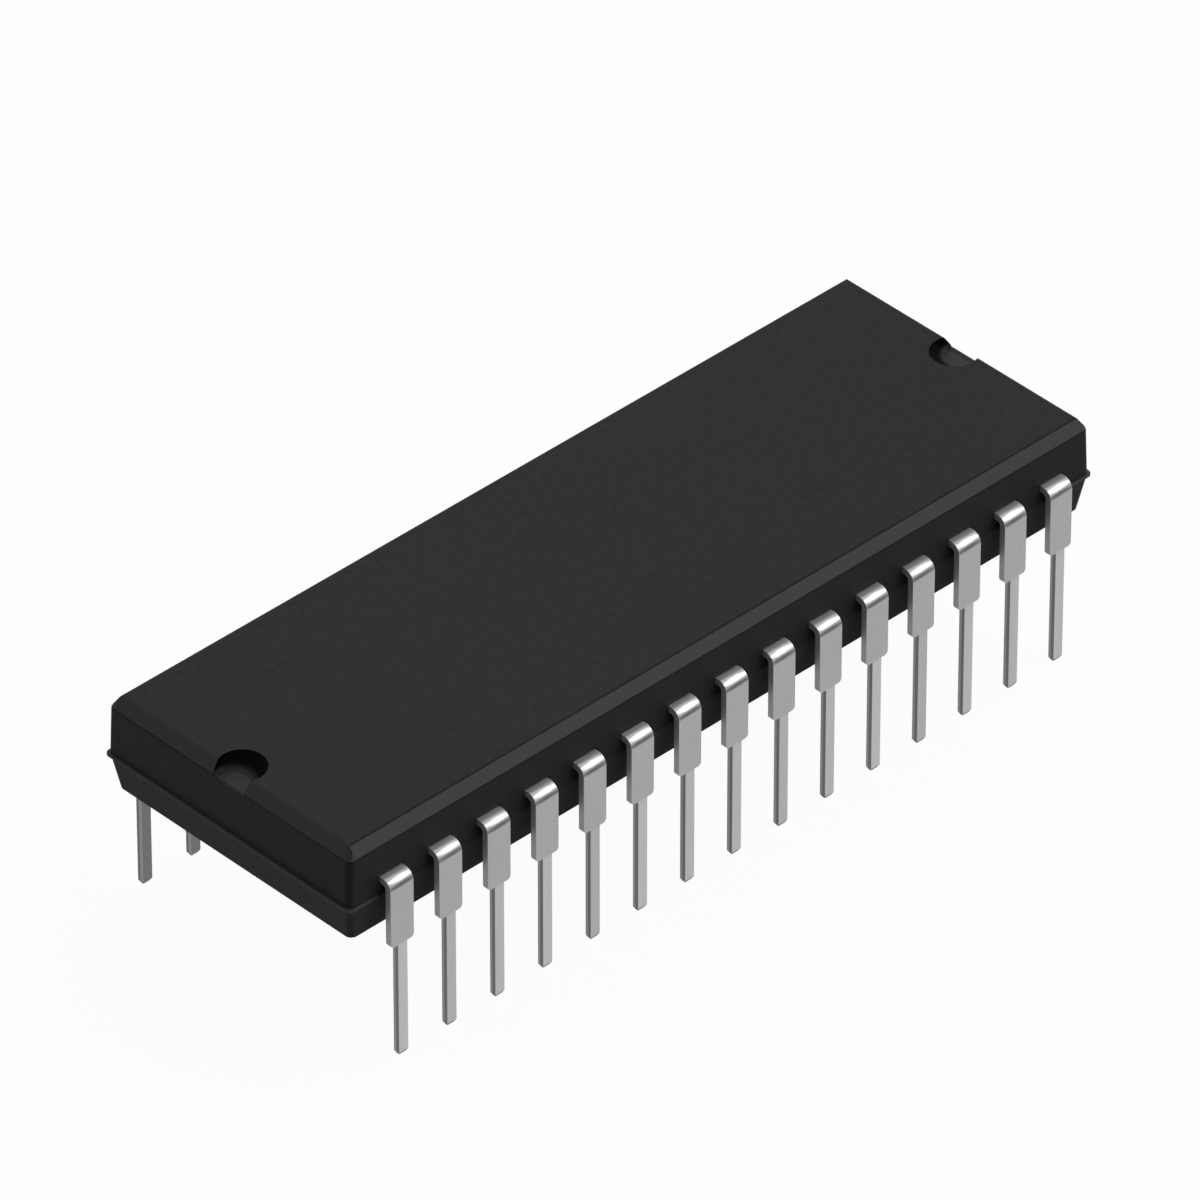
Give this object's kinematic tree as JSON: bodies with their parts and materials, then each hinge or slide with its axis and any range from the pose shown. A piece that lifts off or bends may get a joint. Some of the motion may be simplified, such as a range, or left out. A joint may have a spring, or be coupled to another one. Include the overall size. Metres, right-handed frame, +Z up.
{
  "type": "dip integrated circuit chip",
  "caption": "Dual in-line integrated circuit: flat moulded package with an index notch in each end and a row of formed leads down each long side.",
  "frame": {"origin": "on the plane of the lead tips, under the middle of the package", "axes": "+X along the package, +Y across it from the row of leads 1 to 15 to the row of leads 16 to 30, +Z up out of the top face"},
  "size_m": [0.0282, 0.0104, 0.0074],
  "materials": {
    "mould_compound": "matte black moulded epoxy",
    "tinned_lead": "satin tin plate",
    "frame_copper": "bare copper alloy strip",
    "attach_epoxy": "cured silver-filled adhesive",
    "silicon": "polished silicon",
    "bond_gold": "bare gold wire"
  },
  "bodies": {
    "root": {"mould_body": "mould_compound", "die_pad": "frame_copper", "die_attach": "attach_epoxy", "die": "silicon", "bond_wires": "bond_gold", "lead_01": "tinned_lead", "lead_02": "tinned_lead", "lead_03": "tinned_lead", "lead_04": "tinned_lead", "lead_05": "tinned_lead", "lead_06": "tinned_lead", "lead_07": "tinned_lead", "lead_08": "tinned_lead", "lead_09": "tinned_lead", "lead_10": "tinned_lead", "lead_11": "tinned_lead", "lead_12": "tinned_lead", "lead_13": "tinned_lead", "lead_14": "tinned_lead", "lead_15": "tinned_lead", "lead_16": "tinned_lead", "lead_17": "tinned_lead", "lead_18": "tinned_lead", "lead_19": "tinned_lead", "lead_20": "tinned_lead", "lead_21": "tinned_lead", "lead_22": "tinned_lead", "lead_23": "tinned_lead", "lead_24": "tinned_lead", "lead_25": "tinned_lead", "lead_26": "tinned_lead", "lead_27": "tinned_lead", "lead_28": "tinned_lead", "lead_29": "tinned_lead", "lead_30": "tinned_lead"}
  },
  "joints": []
}
